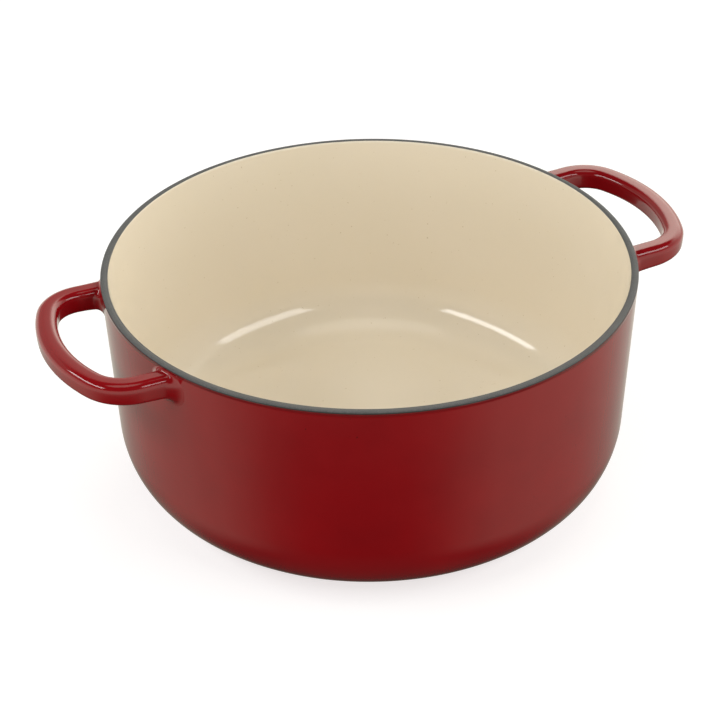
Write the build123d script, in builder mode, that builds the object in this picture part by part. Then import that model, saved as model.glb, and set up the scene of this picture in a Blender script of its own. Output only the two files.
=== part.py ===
"""Round enamelled cast-iron dutch oven with two loop handles, without its lid.

Millimetres, +Z up. The origin is the centre of the circle that the foot ring
stands on. The handles lie on the X axis, the left one at -X.

Real construction: one iron casting (pot and both handles), fired with a dark
ground coat, a cream cover coat inside and a red cover coat outside. The rim and
the foot ring stay without a cover coat.
"""
import os
from math import atan, atan2, cos, degrees, radians, sin, sqrt, tan

from build123d import *

# ---- pot, over the enamel ----
rim_height = 116.4            # top of the rim above the surface the pot stands on
rim_outer_radius = 133.4      # outside of the wall, carried up to the rim
rim_inner_radius = 129.6      # inside of the wall, carried up to the rim
wall_draft = 0.0462           # how much the radius shrinks per millimetre down, about 2.6 degrees
foot_height = 1.0             # clear height of the recessed underside
corner_width = 27.7           # the outside corner is a quarter ellipse, this wide
corner_height = 36.0          # and this high
floor_height = 5.4            # cooking floor
floor_corner_radius = 27.0    # from the cooking floor up into the wall
rim_edge_radius = 0.8         # both edges of the rim

# ---- coats ----
coat = 0.4                    # ground coat and cover coat together
rim_band_depth = 0.9          # the bare ground coat caps the wall down to this depth

# ---- foot ring ----
foot_inner_radius = 93.0
foot_outer_radius = 98.0
foot_edge_radius = 0.5

# ---- loop handles, over the enamel ----
arm_offset = 44.5             # arm centre line from the X axis, at the wall
arm_splay = 1.2               # degrees that each arm leans outwards
bow_reach = 164.3             # centre line of the outer bar from the pot's axis
bow_radius = 80.4             # the outer bar is bowed to this radius
bow_corner_radius = 20.2      # centre line of the bend from arm to bar
bar_width = 10.8
bar_thickness = 11.5          # at the wall
bar_edge_top = 3.2            # edge radii
bar_edge_bottom = 2.4
bar_draft = 2.5               # degrees, narrowing downwards
handle_drop = 3.1             # top of the handle below the rim
top_pitch = 1.25              # degrees that the top face rises outwards
bottom_pitch = 3.3            # degrees that the bottom face rises outwards
root_fillet = 1.8             # where the arms run into the wall
arm_overrun = 12.0            # length of arm left inside the wall before it is cut off
raw_bar_depth = 20.0          # the bar is drawn this deep, then cut to its bottom face


def outside_region(depth):
    """Half section of everything inside the pot's outer surface, set in by depth."""
    lean = atan(wall_draft * corner_height / corner_width)
    middle_height = foot_height + corner_height
    wall_foot = middle_height - corner_height * sin(lean)
    wall_foot_radius = rim_outer_radius - wall_draft * (rim_height - wall_foot)
    middle_radius = wall_foot_radius - corner_width * cos(lean)
    with BuildSketch() as region:
        with BuildLine():
            corner = EllipticalCenterArc(
                (middle_radius, middle_height),
                corner_width - depth,
                corner_height - depth,
                -90,
                arc_size=90 - degrees(lean),
            )
            wall = Line(corner @ 1, (rim_outer_radius - depth, rim_height - depth))
            Polyline(wall @ 1, (0, rim_height - depth), (0, foot_height + depth), corner @ 0)
        make_face()
    return region.sketch


def cavity_region(depth):
    """Half section of the pot's inside, opened out by depth."""
    floor = floor_height - depth
    top = rim_height + 1
    wall_foot_radius = rim_inner_radius - wall_draft * (rim_height - floor_height) + depth
    top_radius = rim_inner_radius + wall_draft + depth
    with BuildSketch() as region:
        with BuildLine():
            Polyline((0, floor), (wall_foot_radius, floor), (top_radius, top), (0, top), close=True)
        make_face()
        floor_corner = region.vertices().group_by(Axis.Y)[0].sort_by(Axis.X)[-1]
        fillet(floor_corner, radius=floor_corner_radius + depth)
    return region.sketch


def pot_section(depth):
    """Half section of the wall and base, set in by depth from every surface."""
    with BuildSketch() as section:
        add(outside_region(depth))
        add(cavity_region(depth), mode=Mode.SUBTRACT)
        fillet(section.vertices().group_by(Axis.Y)[-1], radius=rim_edge_radius - depth)
    return section.sketch


def band(low, high, inner=0.0, outer=2 * rim_outer_radius):
    """Half section of a plain ring, used to keep one stretch of a coat."""
    with BuildSketch() as ring:
        with Locations((inner, low)):
            Rectangle(outer - inner, high - low, align=(Align.MIN, Align.MIN))
    return ring.sketch


def turned_outside(depth):
    """Everything inside the pot's outer surface, as a solid of revolution."""
    with BuildPart() as turned:
        with BuildSketch(Plane.XZ):
            add(outside_region(depth))
        revolve(axis=Axis.Z)
    return turned.part


def raw_handle(depth):
    """The right handle's bar, running on into the pot, set in by depth from its surface."""
    top = Plane(
        origin=(rim_outer_radius, 0, rim_height - handle_drop - depth),
        x_dir=(cos(radians(top_pitch)), 0, sin(radians(top_pitch))),
        z_dir=(-sin(radians(top_pitch)), 0, cos(radians(top_pitch))),
    )
    bottom = Plane(
        origin=(rim_outer_radius, 0, rim_height - handle_drop - bar_thickness + depth),
        z_dir=(-sin(radians(bottom_pitch)), 0, cos(radians(bottom_pitch))),
    )
    # where the leaning arm meets the bow's circle, measured from the wall
    bow_centre = bow_reach - bow_radius - rim_outer_radius
    slope = tan(radians(arm_splay))
    a = 1 + slope**2
    b = 2 * (arm_offset * slope - bow_centre)
    c = bow_centre**2 + arm_offset**2 - bow_radius**2
    meet_x = (-b + sqrt(b**2 - 4 * a * c)) / (2 * a)
    meet_y = arm_offset + slope * meet_x
    bow_angle = degrees(atan2(meet_y, meet_x - bow_centre))
    arm_start_y = arm_offset - slope * arm_overrun
    with BuildPart() as bar:
        with BuildSketch(top):
            with BuildLine() as route:
                Line((-arm_overrun, arm_start_y), (meet_x, meet_y))
                CenterArc((bow_centre, 0), bow_radius, bow_angle, -2 * bow_angle)
                Line((meet_x, -meet_y), (-arm_overrun, -arm_start_y))
                bends = route.vertices().filter_by(lambda corner: corner.X > 0)
                fillet(bends, radius=bow_corner_radius)
            trace(line_width=bar_width - 2 * depth)
        extrude(amount=-raw_bar_depth, taper=bar_draft)
        split(bisect_by=bottom, keep=Keep.TOP)
        sides = bar.faces().sort_by(Axis.Z)
        for face, edge_radius in ((sides[-1], bar_edge_top), (sides[0], bar_edge_bottom)):
            inside_pot = rim_outer_radius - arm_overrun + 1
            edges = face.edges().filter_by(lambda edge: edge.center().X > inside_pot)
            fillet(edges, radius=edge_radius - depth)
    return bar.part


def standing_handle(depth):
    """The right handle as it stands out of the wall, with its root fillets."""
    with BuildPart() as handle:
        add(turned_outside(depth))
        add(raw_handle(depth))
        fillet(handle.edges(Select.NEW), radius=root_fillet + depth)
        add(turned_outside(depth), mode=Mode.SUBTRACT)
    return handle.part


handle_over_coat = standing_handle(0)
handle_iron = standing_handle(coat)
band_bottom = rim_height - rim_band_depth
half_turn = (0, 0, 180)
both_ways = (("right", (0, 0, 0)), ("left", half_turn))

os.makedirs("parts", exist_ok=True)

# ---- the casting: wall and base ----
with BuildPart() as pot_body:
    with BuildSketch(Plane.XZ):
        add(pot_section(coat))
        add(band(0, band_bottom), mode=Mode.INTERSECT)
    revolve(axis=Axis.Z)
pot_body.part.label = "pot_body"
export_step(pot_body.part, "parts/pot_body.step")

# ---- foot ring, ground flat, which the pot stands on ----
with BuildPart() as foot_ring:
    with BuildSketch(Plane.XZ):
        add(band(0, foot_height + coat, foot_inner_radius, foot_outer_radius))
    revolve(axis=Axis.Z)
    fillet(foot_ring.edges().group_by(Axis.Z)[0], radius=foot_edge_radius)
foot_ring.part.label = "foot_ring"
export_step(foot_ring.part, "parts/foot_ring.step")

# ---- cream cover coat on the cooking surface ----
with BuildPart() as interior_enamel:
    with BuildSketch(Plane.XZ):
        add(cavity_region(coat))
        add(cavity_region(0), mode=Mode.SUBTRACT)
        add(band(0, band_bottom), mode=Mode.INTERSECT)
    revolve(axis=Axis.Z)
interior_enamel.part.label = "interior_enamel"
export_step(interior_enamel.part, "parts/interior_enamel.step")

# ---- matt ground coat left bare, capping the rim ----
with BuildPart() as rim_band:
    with BuildSketch(Plane.XZ):
        add(pot_section(0))
        add(band(band_bottom, rim_height), mode=Mode.INTERSECT)
    revolve(axis=Axis.Z)
rim_band.part.label = "rim_band"
export_step(rim_band.part, "parts/rim_band.step")

# ---- red cover coat outside, with the handles' iron coming through it ----
with BuildPart() as exterior_enamel:
    with BuildSketch(Plane.XZ):
        add(outside_region(0))
        add(outside_region(coat), mode=Mode.SUBTRACT)
        add(band(0, band_bottom, foot_outer_radius), mode=Mode.INTERSECT)
    revolve(axis=Axis.Z)
    add(handle_iron, mode=Mode.SUBTRACT)
    add(handle_iron, rotation=half_turn, mode=Mode.SUBTRACT)
exterior_enamel.part.label = "exterior_enamel"
export_step(exterior_enamel.part, "parts/exterior_enamel.step")

# ---- the same coat on the recessed underside, inside the foot ring ----
with BuildPart() as underside_enamel:
    with BuildSketch(Plane.XZ):
        add(band(foot_height, foot_height + coat, 0, foot_inner_radius))
    revolve(axis=Axis.Z)
underside_enamel.part.label = "underside_enamel"
export_step(underside_enamel.part, "parts/underside_enamel.step")

# ---- loop handles: cast iron, and the red coat round it ----
for side, turn in both_ways:
    with BuildPart() as handle:
        add(handle_iron, rotation=turn)
    handle.part.label = f"{side}_handle"
    export_step(handle.part, f"parts/{side}_handle.step")

    with BuildPart() as handle_enamel:
        add(handle_over_coat, rotation=turn)
        add(handle_iron, rotation=turn, mode=Mode.SUBTRACT)
    handle_enamel.part.label = f"{side}_handle_enamel"
    export_step(handle_enamel.part, f"parts/{side}_handle_enamel.step")
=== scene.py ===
import bmesh
import bpy
from math import atan, atan2, cos, pi, radians, sin, sqrt, tan
from mathutils import Matrix, Vector, noise


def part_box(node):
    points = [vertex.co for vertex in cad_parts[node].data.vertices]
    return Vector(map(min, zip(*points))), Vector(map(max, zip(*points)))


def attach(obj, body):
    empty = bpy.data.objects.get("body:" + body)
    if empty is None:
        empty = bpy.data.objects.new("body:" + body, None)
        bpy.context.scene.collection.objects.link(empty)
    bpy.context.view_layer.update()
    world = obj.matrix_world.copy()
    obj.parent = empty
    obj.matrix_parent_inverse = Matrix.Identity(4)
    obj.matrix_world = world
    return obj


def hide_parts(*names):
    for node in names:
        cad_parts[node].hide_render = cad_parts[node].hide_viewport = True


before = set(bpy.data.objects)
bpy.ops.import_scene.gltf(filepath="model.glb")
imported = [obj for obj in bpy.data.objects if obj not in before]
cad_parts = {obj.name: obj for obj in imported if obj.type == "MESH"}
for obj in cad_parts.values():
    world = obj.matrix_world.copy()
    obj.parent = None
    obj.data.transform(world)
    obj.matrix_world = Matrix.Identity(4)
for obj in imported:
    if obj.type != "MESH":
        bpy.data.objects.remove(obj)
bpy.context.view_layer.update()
mm = 0.001

# ---- Camera ----
# Stands to the front left, above the rim, with a long lens, and aims at the
# middle of the pot. It is turned a little about its own line of sight.
rim_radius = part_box("rim_band")[1].x
rim_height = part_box("rim_band")[1].z
camera_azimuth = radians(-25.29)
camera_reach = 895.9 * mm
camera_over_rim = 526.1 * mm
camera_roll = radians(-0.868)
to_camera = Vector((sin(camera_azimuth), -cos(camera_azimuth), 0))
eye = to_camera * camera_reach + Vector((0, 0, rim_height + camera_over_rim))
aim = Vector((-4.8 * mm, 2.2 * mm, 57.6 * mm))
camera = bpy.data.objects.new("camera", bpy.data.cameras.new("camera"))
bpy.context.scene.collection.objects.link(camera)
camera.data.sensor_width = 36
camera.data.lens = 104.26
camera.rotation_mode = "QUATERNION"
line_of_sight = (aim - eye).to_track_quat("-Z", "Y")
camera.rotation_quaternion = line_of_sight @ Matrix.Rotation(camera_roll, 3, "Z").to_quaternion()
camera.location = eye
bpy.context.scene.camera = camera

# ---- Studio ----
# A pale floor in a white room, dim towards the camera and bright behind the pot,
# with two long softboxes above, left and right. The floor gives off light itself,
# and the pot's reflections and bounced light pass it by and meet the room instead.
bpy.context.scene.view_settings.view_transform = "Standard"


def linear_colour(hex_colour):
    """An sRGB hex colour as linear red, green, blue and alpha."""
    channels = [int(hex_colour[i:i + 2], 16) / 255 for i in (1, 3, 5)]
    return [c / 12.92 if c <= 0.04045 else ((c + 0.055) / 1.055) ** 2.4 for c in channels] + [1]


def add_node(tree, kind, settings=None, links=None):
    """Adds a shader node with its settings, socket values and incoming links."""
    node = tree.nodes.new(kind)
    for key, value in (settings or {}).items():
        if isinstance(key, int) or key in node.inputs:
            node.inputs[key].default_value = value
        else:
            setattr(node, key, value)
    for key, source in (links or {}).items():
        tree.links.new(source, node.inputs[key])
    return node


def add_ramp(tree, factor, stops):
    """Adds a colour ramp through (position, colour) stops."""
    ramp = add_node(tree, "ShaderNodeValToRGB", links={0: factor})
    while len(ramp.color_ramp.elements) < len(stops):
        ramp.color_ramp.elements.new(0.5)
    for element, (position, colour) in zip(ramp.color_ramp.elements, stops):
        element.position = position
        element.color = colour
    return ramp.outputs[0]


def grey(level):
    return (level, 0.97 * level, 0.86 * level, 1)


def warm(level):
    return (level, 0.95 * level, 0.79 * level, 1)


room = bpy.data.worlds.new("studio_room")
bpy.context.scene.world = room
room.use_nodes = True
sky = room.node_tree
sky.nodes.clear()
direction = add_node(sky, "ShaderNodeTexCoord").outputs["Generated"]


def facing_level(axis):
    """How far a direction faces along a level axis: 0 straight away from it, 1 straight along it."""
    flat = add_node(sky, "ShaderNodeVectorMath", {"operation": "MULTIPLY", 1: (1, 1, 0)}, {0: direction})
    level_way = add_node(sky, "ShaderNodeVectorMath", {"operation": "NORMALIZE"}, {0: flat.outputs[0]})
    settings = {"operation": "DOT_PRODUCT", 1: axis}
    along = add_node(sky, "ShaderNodeVectorMath", settings, {0: level_way.outputs[0]})
    return add_node(
        sky, "ShaderNodeMapRange", {"From Min": -1, "From Max": 1}, {"Value": along.outputs["Value"]}
    ).outputs[0]


def fade(value, start, end):
    """A smooth step from 0 to 1 between two values."""
    settings = {"From Min": start, "From Max": end, "interpolation_type": "SMOOTHSTEP"}
    return add_node(sky, "ShaderNodeMapRange", settings, {"Value": value}).outputs[0]


def mix_light(factor, first, second):
    """Goes from the first light to the second; each is a socket or a level of grey."""
    node = add_node(sky, "ShaderNodeMix", {"data_type": "RGBA"}, {0: factor})
    for index, light in ((6, first), (7, second)):
        if isinstance(light, float):
            node.inputs[index].default_value = grey(light)
        else:
            sky.links.new(light, node.inputs[index])
    return node.outputs[2]


camera_right = Vector((-to_camera.y, to_camera.x, 0))
front = facing_level(Matrix.Rotation(radians(-7), 3, "Z") @ to_camera)
right = facing_level(camera_right)
height = add_node(sky, "ShaderNodeSeparateXYZ", links={0: direction}).outputs[2]
floor_light = add_ramp(sky, front, [
    (0.0, warm(0.24)), (0.3, warm(0.36)), (0.55, warm(0.52)), (0.70, warm(0.51)),
    (0.80, warm(0.36)), (0.89, warm(0.16)), (0.96, warm(0.06)), (1.0, warm(0.045)),
])
floor_light = mix_light(fade(height, -0.69, -0.90), floor_light, 0.07)
left_walls = add_ramp(sky, front, [
    (0.0, grey(0.27)), (0.25, grey(0.30)), (0.5, grey(0.20)), (0.8, grey(0.05)), (1.0, grey(0.03)),
])
right_walls = add_ramp(sky, front, [
    (0.0, grey(1.70)), (0.12, grey(1.20)), (0.25, grey(0.60)),
    (0.5, grey(0.25)), (0.8, grey(0.06)), (1.0, grey(0.03)),
])
wall_gain = 2.0
walls = mix_light(fade(right, 0.40, 0.60), left_walls, right_walls)
brighten = {"operation": "SCALE", "Scale": wall_gain}
walls = add_node(sky, "ShaderNodeVectorMath", brighten, {0: walls}).outputs[0]
# a pale band all round at the height of the horizon
light = mix_light(fade(height, -0.70, -0.35), floor_light, 1.25)
light = mix_light(fade(height, 0.12, 0.34), light, walls)
light = mix_light(fade(height, 0.60, 0.75), light, 0.05)
light = mix_light(fade(height, 0.945, 0.97), light, 1.6)
seen = add_node(sky, "ShaderNodeLightPath").outputs["Is Camera Ray"]
backdrop = add_node(sky, "ShaderNodeMix", {"data_type": "RGBA", 7: (1, 1, 1, 1)}, {0: seen, 6: light})
glow = add_node(sky, "ShaderNodeBackground", links={"Color": backdrop.outputs[2]})
add_node(sky, "ShaderNodeOutputWorld", links={"Surface": glow.outputs[0]})


def softbox(name, turn, lift, distance, long_side, short_side, radiance):
    """A rectangular light that faces the pot; turn is degrees from the camera's side, to the left."""
    way = Matrix.Rotation(radians(-turn), 3, "Z") @ to_camera
    way = way * cos(radians(lift)) + Vector((0, 0, sin(radians(lift))))
    lamp = bpy.data.lights.new(name, "AREA")
    lamp.shape = "RECTANGLE"
    lamp.size = long_side
    lamp.size_y = short_side
    # an area light's radiance is its power over its area and pi
    lamp.energy = radiance * long_side * short_side * pi
    box = bpy.data.objects.new(name, lamp)
    bpy.context.scene.collection.objects.link(box)
    box.location = Vector((0, 0, rim_height)) + way * distance
    box.rotation_mode = "QUATERNION"
    box.rotation_quaternion = (-way).to_track_quat("-Z", "Y")
    return box


softbox("left_softbox", 72, 37.5, 0.945, 0.86, 0.16, 9.2)
softbox("right_softbox", -63, 36.5, 1.013, 0.85, 0.26, 5.3)

floor_mesh = bpy.data.meshes.new("studio_floor")
floor_size = 8.0
floor_bm = bmesh.new()
bmesh.ops.create_circle(floor_bm, cap_ends=True, segments=96, radius=floor_size / 2)
floor_bm.to_mesh(floor_mesh)
floor_bm.free()
floor = bpy.data.objects.new("studio_floor", floor_mesh)
bpy.context.scene.collection.objects.link(floor)
floor.visible_glossy = False
floor.visible_diffuse = False
paper = bpy.data.materials.new("backlit matt white acrylic")
paper.use_nodes = True
paper_shader = paper.node_tree.nodes["Principled BSDF"]
paper_shader.inputs["Base Color"].default_value = linear_colour("#B4B4B4")
paper_shader.inputs["Roughness"].default_value = 0.9
paper_shader.inputs["Specular IOR Level"].default_value = 0.0
paper_shader.inputs["Emission Color"].default_value = linear_colour("#FFFFFF")
paper_shader.inputs["Emission Strength"].default_value = 0.72
floor_mesh.materials.append(paper)

# ---- The casting ----
# Pot and handles are one casting of grey iron, poured in a sand mould. It is
# dark, rough and finely grained, and the enamel hides nearly all of it.
sand_grain = 0.6 * mm


def new_material(name):
    """An empty material with a shader tree, its shader and object coordinates in metres."""
    material = bpy.data.materials.new(name)
    material.use_nodes = True
    tree = material.node_tree
    shader = tree.nodes["Principled BSDF"]
    place = add_node(tree, "ShaderNodeTexCoord").outputs["Object"]
    return material, tree, shader, place


def grain(tree, place, size, detail=2.0, roughness=0.5):
    """Noise whose lumps are about one size across, 0 to 1."""
    settings = {"Scale": 1 / size, "Detail": detail, "Roughness": roughness}
    return add_node(tree, "ShaderNodeTexNoise", settings, {"Vector": place}).outputs["Fac"]


def blend_colours(tree, factor, low, high):
    """A colour between two hex colours, or between two sockets."""
    node = add_node(tree, "ShaderNodeMix", {"data_type": "RGBA"}, {0: factor})
    for index, colour in ((6, low), (7, high)):
        if isinstance(colour, str):
            node.inputs[index].default_value = linear_colour(colour)
        else:
            tree.links.new(colour, node.inputs[index])
    return node.outputs[2]


def bump(tree, height_map, depth, under=None):
    """A bump of a real depth, on top of another if there is one."""
    links = {"Height": height_map}
    if under:
        links["Normal"] = under
    return add_node(tree, "ShaderNodeBump", {"Distance": depth, "Strength": 1.0}, links).outputs[0]


def stretch(tree, value, low, high, out_low=0.0, out_high=1.0):
    """Maps a value from one range to another, and stops at its ends."""
    settings = {"From Min": low, "From Max": high, "To Min": out_low, "To Max": out_high}
    return add_node(tree, "ShaderNodeMapRange", settings, {"Value": value}).outputs[0]


iron, tree, shader, place = new_material("sand-cast grey iron")
sand = grain(tree, place, sand_grain, detail=4)
tree.links.new(blend_colours(tree, sand, "#26272A", "#3E3F42"), shader.inputs["Base Color"])
tree.links.new(bump(tree, sand, 0.15 * mm), shader.inputs["Normal"])
shader.inputs["Metallic"].default_value = 0.7
shader.inputs["Roughness"].default_value = 0.62
for node in ("pot_body", "left_handle", "right_handle"):
    for material_slot in bpy.data.objects[node].material_slots:
        material_slot.material = iron

# ---- Foot ring ----
# The pot stands on this ring. It is part of the casting and carries ground coat
# only, and after firing its face is ground flat, which leaves it scuffed.
ring_steps = 288
foot_inside = 93.0 * mm
foot_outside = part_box("foot_ring")[1].x
foot_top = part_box("foot_ring")[1].z


def arc(centre, radii, start, end, steps):
    """Points along part of an ellipse, in degrees from straight outwards."""
    turns = [radians(start + (end - start) * i / steps) for i in range(steps + 1)]
    return [(centre[0] + radii[0] * cos(t), centre[1] + radii[1] * sin(t)) for t in turns]


def turned_piece(name, outline, closed, material, node, ripple=0.0, ripple_size=1.0):
    """Spins an outline of (radius, height) points about the pot's axis into a closed skin."""
    bm = bmesh.new()
    points = [bm.verts.new((radius, 0, z)) for radius, z in outline]
    pairs = list(zip(points, points[1:]))
    if closed:
        pairs.append((points[-1], points[0]))
    edges = [bm.edges.new(pair) for pair in pairs]
    bmesh.ops.spin(
        bm, geom=points + edges, cent=(0, 0, 0), axis=(0, 0, 1),
        angle=2 * pi, steps=ring_steps, use_merge=True,
    )
    bmesh.ops.remove_doubles(bm, verts=bm.verts, dist=1e-6)
    bmesh.ops.recalc_face_normals(bm, faces=bm.faces)
    if ripple:
        for vert in bm.verts:
            lump = noise.noise(vert.co / ripple_size) + 0.5 * noise.noise(vert.co * 2.3 / ripple_size)
            vert.co += Vector((vert.co.x, vert.co.y, 0)).normalized() * lump * ripple
    return finish_piece(name, bm, material, node)


def finish_piece(name, bm, material, node):
    """Makes a mesh object of the shape and puts it in place of its CAD node."""
    for face in bm.faces:
        face.smooth = True
    mesh = bpy.data.meshes.new(name)
    bm.to_mesh(mesh)
    bm.free()
    mesh.materials.append(material)
    piece = bpy.data.objects.new(name, mesh)
    bpy.context.scene.collection.objects.link(piece)
    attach(piece, "root")
    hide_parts(node)
    return piece


ground_ring, tree, shader, place = new_material("ground coat, ground flat")
scuff = grain(tree, place, 1.2 * mm, detail=6, roughness=0.65)
scuffed = blend_colours(tree, stretch(tree, scuff, 0.35, 0.7), "#2B2C2E", "#5A5B5C")
tree.links.new(scuffed, shader.inputs["Base Color"])
tree.links.new(stretch(tree, scuff, 0.3, 0.7, 0.45, 0.75), shader.inputs["Roughness"])
tree.links.new(bump(tree, scuff, 0.03 * mm), shader.inputs["Normal"])
foot_edge = 0.5 * mm
turned_piece(
    "foot_ring_ground_face",
    [(foot_inside, foot_top), (foot_inside, foot_edge)]
    + arc((foot_inside + foot_edge, foot_edge), (foot_edge, foot_edge), 180, 270, 4)
    + arc((foot_outside - foot_edge, foot_edge), (foot_edge, foot_edge), -90, 0, 4)
    + [(foot_outside, foot_top)],
    True, ground_ring, "foot_ring",
)

# ---- Cream enamel ----
# The cooking surface: pale cream glass over the ground coat, poured in and
# swilled round, so it is glossy and even, with a few pinholes.
coat = 0.4 * mm
wall_draft = 0.0462
cooking_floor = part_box("interior_enamel")[0].z + coat
cream_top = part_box("interior_enamel")[1].z
cream_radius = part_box("interior_enamel")[1].x - coat
floor_corner = 27.0 * mm
lip_radius = 0.85 * mm
lip_rise = rim_height - 0.03 * mm - cream_top
cream_floor_steps = 24
cream_bend_steps = 36
cream_wall_steps = 40


def cream_path(depth):
    """The inside surface from the axis to the rim, or the same set back by depth."""
    floor = cooking_floor - depth
    corner = floor_corner + depth
    middle_height = floor + corner
    wall_there = cream_radius + depth - wall_draft * (cream_top - middle_height)
    middle_radius = wall_there - corner * sqrt(1 + wall_draft**2)
    lean = atan(wall_draft) * 180 / pi
    bend = arc((middle_radius, middle_height), (corner, corner), -90, -lean, cream_bend_steps)
    flat_floor = [(middle_radius * i / cream_floor_steps, floor) for i in range(cream_floor_steps)]
    wall_start = bend[-1]
    wall_end = (cream_radius + depth, cream_top)
    rises = [i / cream_wall_steps for i in range(1, cream_wall_steps + 1)]
    wall = [
        (wall_start[0] + (wall_end[0] - wall_start[0]) * t, wall_start[1] + (wall_end[1] - wall_start[1]) * t)
        for t in rises
    ]
    lip_middle = (wall_end[0] + lip_radius - depth, cream_top)
    lip = arc(lip_middle, (lip_radius - depth, lip_rise - depth), 180, 90, 8)
    return flat_floor + bend + wall + lip[1:]


cream, tree, shader, place = new_material("cream vitreous enamel")
cloud = grain(tree, place, 45 * mm, detail=3)
speck = stretch(tree, grain(tree, place, 1.6 * mm, detail=1), 0.76, 0.80)
tint = blend_colours(tree, cloud, "#F2E8D4", "#F5EBDA")
tint = blend_colours(tree, speck, tint, "#DCCFB4")
# the ground coat shows on the lip, and the cream is painted further out over it
# on the side away from the camera, though the lip's shape is even all round
split = add_node(tree, "ShaderNodeSeparateXYZ", links={0: place}).outputs
level_place = add_node(tree, "ShaderNodeVectorMath", {"operation": "MULTIPLY", 1: (1, 1, 0)}, {0: place})
radius = add_node(tree, "ShaderNodeVectorMath", {"operation": "LENGTH"}, {0: level_place.outputs[0]})
backward = add_node(tree, "ShaderNodeVectorMath", {"operation": "DOT_PRODUCT", 1: -to_camera}, {0: place})
cream_edge = stretch(
    tree, backward.outputs["Value"], 0.1 * rim_radius, 0.85 * rim_radius,
    cream_radius, cream_radius + lip_radius,
)
over_lip = add_node(
    tree, "ShaderNodeMath", {"operation": "SUBTRACT"}, {0: radius.outputs["Value"], 1: cream_edge}
).outputs[0]
bare = stretch(tree, over_lip, 0.0, 0.12 * mm)
on_top = stretch(tree, split[2], cream_top, cream_top + 0.1 * mm)
bare = add_node(tree, "ShaderNodeMath", {"operation": "MULTIPLY"}, {0: bare, 1: on_top}).outputs[0]
tree.links.new(blend_colours(tree, bare, tint, "#4C4D4E"), shader.inputs["Base Color"])
tree.links.new(stretch(tree, bare, 0, 1, 0.10, 0.55), shader.inputs["Roughness"])
shader.inputs["IOR"].default_value = 1.5
long_wave = bump(tree, grain(tree, place, 22 * mm, detail=1), 0.05 * mm)
cream_peel = grain(tree, place, 2.6 * mm, detail=1)
tree.links.new(bump(tree, cream_peel, 0.003 * mm, long_wave), shader.inputs["Normal"])
turned_piece(
    "cream_enamel_inside", cream_path(0) + cream_path(coat)[::-1],
    False, cream, "interior_enamel",
)

# ---- Rim ----
# The cover coats stop short of the rim, so the dark ground coat shows there as
# a narrow matt band. It is finely speckled and a little rough.
band_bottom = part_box("rim_band")[0].z
band_lap = 0.05 * mm          # the band runs down this far over the red bead, which closes the seam
band_outside = rim_radius
band_inside = cream_radius
rim_edge = 0.8 * mm

ground_coat, tree, shader, place = new_material("matt ground-coat enamel")
fine = grain(tree, place, 0.5 * mm, detail=3, roughness=0.7)
patch = grain(tree, place, 9 * mm, detail=2)
dark = blend_colours(tree, stretch(tree, patch, 0.3, 0.7), "#38393A", "#454647")
speckled = blend_colours(tree, stretch(tree, fine, 0.35, 0.75), dark, "#68696A")
# painted dark reflection: the band's outer rounding faces down and out where it meets the cover coats, and is
# painted nearly black there for the dark room in front that it mirrors
level = add_node(tree, "ShaderNodeSeparateXYZ", links={0: place}).outputs[2]
painted_dark_reflection = stretch(tree, level, rim_height - 0.22 * mm, rim_height - 0.60 * mm)
tree.links.new(blend_colours(tree, painted_dark_reflection, speckled, "#141314"), shader.inputs["Base Color"])
tree.links.new(stretch(tree, fine, 0.3, 0.7, 0.50, 0.68), shader.inputs["Roughness"])
tree.links.new(bump(tree, fine, 0.04 * mm), shader.inputs["Normal"])
band_start = band_inside + lip_radius - 0.15 * mm
turned_piece(
    "rim_ground_coat_band",
    [(band_outside, band_bottom - band_lap)]
    + arc((band_outside - rim_edge, rim_height - rim_edge), (rim_edge, rim_edge), 0, 90, 8)
    + [((band_start + band_outside) / 2, rim_height), (band_start + 0.2 * mm, rim_height)]
    + [(band_start, rim_height - 0.15 * mm), (band_start, rim_height - coat)]
    + [(band_outside - coat, rim_height - coat), (band_outside - coat, band_bottom - band_lap)],
    True, ground_coat, "rim_band",
)

# ---- Red enamel on the pot ----
# Deep red cover coat, sprayed on and fired. It is thick and glossy, follows the
# slight unevenness of the casting, and ends under the rim in a rounded bead.
corner_width = 27.7 * mm
corner_height = 36.0 * mm
red_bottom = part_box("exterior_enamel")[0].z
red_bead = 0.35 * mm
bead_swell = 0.02 * mm
red_bend_steps = 44
red_wall_steps = 48


def red_path(depth):
    """The outside surface from the foot ring up to the band, or the same set in by depth."""
    lean = atan(wall_draft * corner_height / corner_width)
    middle_height = red_bottom + corner_height
    wall_foot = middle_height - corner_height * sin(lean)
    draft_line = rim_radius + wall_draft * (rim_height - band_bottom) / 2
    wall_foot_radius = draft_line - wall_draft * (rim_height - wall_foot)
    middle_radius = wall_foot_radius - corner_width * cos(lean)
    bend = arc(
        (middle_radius, middle_height), (corner_width - depth, corner_height - depth),
        -90, -lean * 180 / pi, red_bend_steps,
    )
    top = band_bottom - (red_bead if depth == 0 else 0)
    rises = [i / red_wall_steps for i in range(1, red_wall_steps + 1)]
    start = bend[-1]
    end = (draft_line - depth - wall_draft * (rim_height - top), top)
    wall = [(start[0] + (end[0] - start[0]) * t, start[1] + (end[1] - start[1]) * t) for t in rises]
    return [(foot_outside, red_bottom + depth)] + bend + wall


def enamel_surface(tree, shader, place, peel, peel_depth, wave, wave_depth):
    """Gloss and surface of fired glass: long waves with a fine orange peel on them."""
    upright = add_node(tree, "ShaderNodeVectorMath", {"operation": "MULTIPLY", 1: (1, 1, 0.4)}, {0: place})
    long_wave = bump(tree, grain(tree, upright.outputs[0], wave, detail=2), wave_depth)
    orange_peel = grain(tree, place, peel, detail=1)
    tree.links.new(bump(tree, orange_peel, peel_depth, long_wave), shader.inputs["Normal"])
    shader.inputs["IOR"].default_value = 1.5


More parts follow.
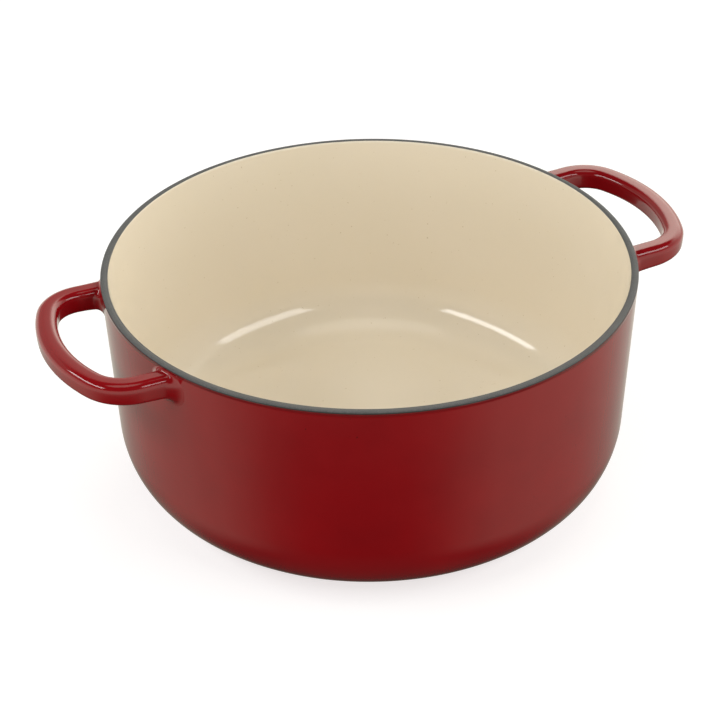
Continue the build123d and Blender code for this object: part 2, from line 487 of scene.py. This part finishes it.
red, tree, shader, place = new_material("deep red vitreous enamel")
depth_cloud = stretch(tree, grain(tree, place, 30 * mm, detail=4), 0.3, 0.7)
pinhole = stretch(tree, grain(tree, place, 1.4 * mm, detail=1), 0.78, 0.82)
red_tint = blend_colours(tree, depth_cloud, "#860A12", "#8E0B13")
tree.links.new(blend_colours(tree, pinhole, red_tint, "#5A060A"), shader.inputs["Base Color"])
shader.inputs["Roughness"].default_value = 0.06
enamel_surface(tree, shader, place, 2.4 * mm, 0.005 * mm, 20 * mm, 0.10 * mm)
outside = red_path(0)
bead_end = outside[-1]
bead = arc((bead_end[0] - red_bead, bead_end[1]), (red_bead + bead_swell, red_bead), 0, 90, 6)
turned_piece(
    "red_enamel_outside", outside + bead + red_path(coat)[::-1],
    True, red, "exterior_enamel",
    ripple=0.05 * mm, ripple_size=38 * mm,
)

# ---- Red enamel on the underside ----
# The recess inside the foot ring has the same red glass, fired on to the flat
# underside of the casting, so it is a thin flat disc.
turned_piece(
    "red_enamel_underside",
    [(0, red_bottom), (foot_inside, red_bottom), (foot_inside, red_bottom + coat), (0, red_bottom + coat)],
    False, red, "underside_enamel",
)

# ---- Red enamel on the handles ----
# Each loop is cast with the pot: two arms, two bends and a bowed bar, with all
# edges rounded. The coat runs over the roots and into the wall in one sweep.
arm_offset = 44.5 * mm
arm_splay = radians(1.2)
bow_reach = 164.3 * mm
bow_radius = 80.4 * mm
bow_corner = 20.2 * mm
bar_width = 10.8 * mm
bar_thickness = 11.5 * mm
bar_draft = radians(2.5)
edge_top_inner = 3.2 * mm
edge_top_outer = 3.7 * mm
edge_bottom = 2.4 * mm
bar_crown = 0.14 * mm
handle_drop = 3.1 * mm
top_pitch = radians(1.25)
bottom_pitch = radians(3.3)
root_side = 5.5 * mm
root_top = 1.7 * mm
straight_start = 134.2 * mm
arm_steps = 4
bend_steps = 14
bow_steps = 16


def wall_radius(z):
    """Radius of the pot's outside at a height on its straight wall."""
    return rim_radius - wall_draft * (rim_height - z)


def loop_route():
    """Half of the bar's centre line from wall to middle: (x, y, heading) stations."""
    bow_centre = Vector((bow_reach - bow_radius, 0))
    start = Vector((rim_radius, arm_offset))
    along = Vector((cos(arm_splay), sin(arm_splay)))
    inward = Vector((sin(arm_splay), -cos(arm_splay)))
    # the bend's centre lies one bend radius inside the arm and inside the bow
    gap = start + inward * bow_corner - bow_centre
    half_b = gap.dot(along)
    reach = -half_b + sqrt(half_b**2 - gap.length_squared + (bow_radius - bow_corner) ** 2)
    bend_centre = start + inward * bow_corner + along * reach
    bend_start = start + along * reach
    bow_angle = atan2(bend_centre.y, bend_centre.x - bow_centre.x)
    stations = []
    straight_end = bend_start.x
    for i in range(arm_steps):
        x = straight_start + (straight_end - straight_start) * i / arm_steps
        stations.append((x, arm_offset + (x - rim_radius) * tan(arm_splay), arm_splay))
    first = pi / 2 + arm_splay
    for i in range(bend_steps + 1):
        angle = first + (bow_angle - first) * i / bend_steps
        x = bend_centre.x + bow_corner * cos(angle)
        stations.append((x, bend_centre.y + bow_corner * sin(angle), angle - pi / 2))
    for i in range(1, bow_steps + 1):
        angle = bow_angle * (1 - i / bow_steps)
        stations.append((bow_centre.x + bow_radius * cos(angle), bow_radius * sin(angle), angle - pi / 2))
    return stations


def bar_section():
    """The bar's outline as (across, up, normal across, normal up), up from the bottom face."""
    bm = bmesh.new()
    half = bar_width / 2
    foot = half - bar_thickness * tan(bar_draft)
    corners = [(-foot, 0), (foot, 0), (half, bar_thickness), (-half, bar_thickness)]
    verts = [bm.verts.new((across, up, 0)) for across, up in corners]
    bm.faces.new(verts)
    for pair, radius in ((verts[:2], edge_bottom), (verts[2:3], edge_top_inner), (verts[3:], edge_top_outer)):
        bmesh.ops.bevel(
            bm, geom=pair, offset=radius, offset_type="OFFSET", segments=6,
            profile=0.5, affect="VERTICES", material=-1,
        )
    long_edges = [edge for edge in bm.edges if edge.calc_length() > 1.5 * mm]
    bmesh.ops.subdivide_edges(bm, edges=long_edges, cuts=3)
    ring = [loop.vert.co.copy() for loop in max(bm.faces, key=lambda face: len(face.verts)).loops]
    bm.free()
    # surface tension leaves every flat of the bar slightly domed
    for point in ring:
        point.x *= 1 + bar_crown / half * sin(pi * min(max(point.y / bar_thickness, 0), 1))
        point.y += bar_crown * (2 * point.y / bar_thickness - 1) * cos(pi / 2 * min(abs(point.x) / half, 1))
    section = []
    for i, point in enumerate(ring):
        tangent = (ring[(i + 1) % len(ring)] - ring[i - 1]).normalized()
        section.append((point.x, point.y, tangent.y, -tangent.x))
    return section


def place_on_bar(x, y, heading, across, up):
    """A point of the section at a station, leaned to the handle's pitched faces."""
    px = x + across * sin(heading)
    py = y - across * cos(heading)
    out = px - rim_radius
    top = rim_height - handle_drop + out * tan(top_pitch)
    bottom = rim_height - handle_drop - bar_thickness + out * tan(bottom_pitch)
    return Vector((px, py, bottom + (top - bottom) * up / bar_thickness))


def root_ring(section, turn):
    """The section as it flares into the wall; turn is 0 on the wall and 90 degrees on the arm."""
    ring = []
    for across, up, normal_across, normal_up in section:
        rise = max(normal_up, 0.0)
        radius = root_side + (root_top - root_side) * rise**0.7
        swell = radius * (1 - sin(turn))
        gap = radius * (1 - cos(turn))
        y = arm_offset - (across + normal_across * swell)
        point = place_on_bar(rim_radius - 6 * mm, arm_offset, 0, across, up)
        z = min(point.z + normal_up * swell, band_bottom - 0.05 * mm)
        x = sqrt(wall_radius(z) ** 2 - y**2) + gap
        ring.append(Vector((x, y, z)))
    return ring


def loop_handle(name, node, facing_x):
    """One enamelled handle, closed inside the pot's wall."""
    section = bar_section()
    flare_steps = 10
    half = [root_ring(section, radians(90 * i / flare_steps)) for i in range(flare_steps + 1)]
    sunk = [Vector((p.x - 0.35 * mm, p.y, p.z)) for p in half[0]]
    half = [sunk] + half
    for x, y, heading in loop_route():
        half.append([place_on_bar(x, y, heading, across, up) for across, up, _, _ in section])
    # the other half is the mirror image in the X axis, with its section turned round to match
    mirrored = []
    for ring in half[-2::-1]:
        mirrored.append([Vector((p.x, -p.y, p.z)) for p in ring])
    rings = half + mirrored
    bm = bmesh.new()
    loop_verts = [bm.verts.new(p) for p in rings[0]]
    edges = [bm.edges.new(pair) for pair in zip(loop_verts, loop_verts[1:] + loop_verts[:1])]
    bm.faces.new(loop_verts)
    for ring in rings[1:]:
        grown = bmesh.ops.extrude_edge_only(bm, edges=edges)["geom"]
        new_edges = [item for item in grown if isinstance(item, bmesh.types.BMEdge)]
        ordered = []
        for vert in loop_verts:
            follower = [edge.other_vert(vert) for edge in vert.link_edges if edge.other_vert(vert) in grown]
            ordered.append(follower[0])
        for vert, point in zip(ordered, ring):
            vert.co = point
        loop_verts = ordered
        edges = [edge for edge in new_edges if all(vert in ordered for vert in edge.verts)]
    bm.faces.new(loop_verts[::-1])
    for vert in bm.verts:
        vert.co.x *= facing_x
    bmesh.ops.recalc_face_normals(bm, faces=bm.faces)
    piece = finish_piece(name, bm, red, node)
    rounding = piece.modifiers.new("even glass", "SUBSURF")
    rounding.levels = 1
    rounding.render_levels = 1
    return piece


loop_handle("red_enamel_left_handle", "left_handle_enamel", -1)
loop_handle("red_enamel_right_handle", "right_handle_enamel", 1)

bpy.context.view_layer.update()
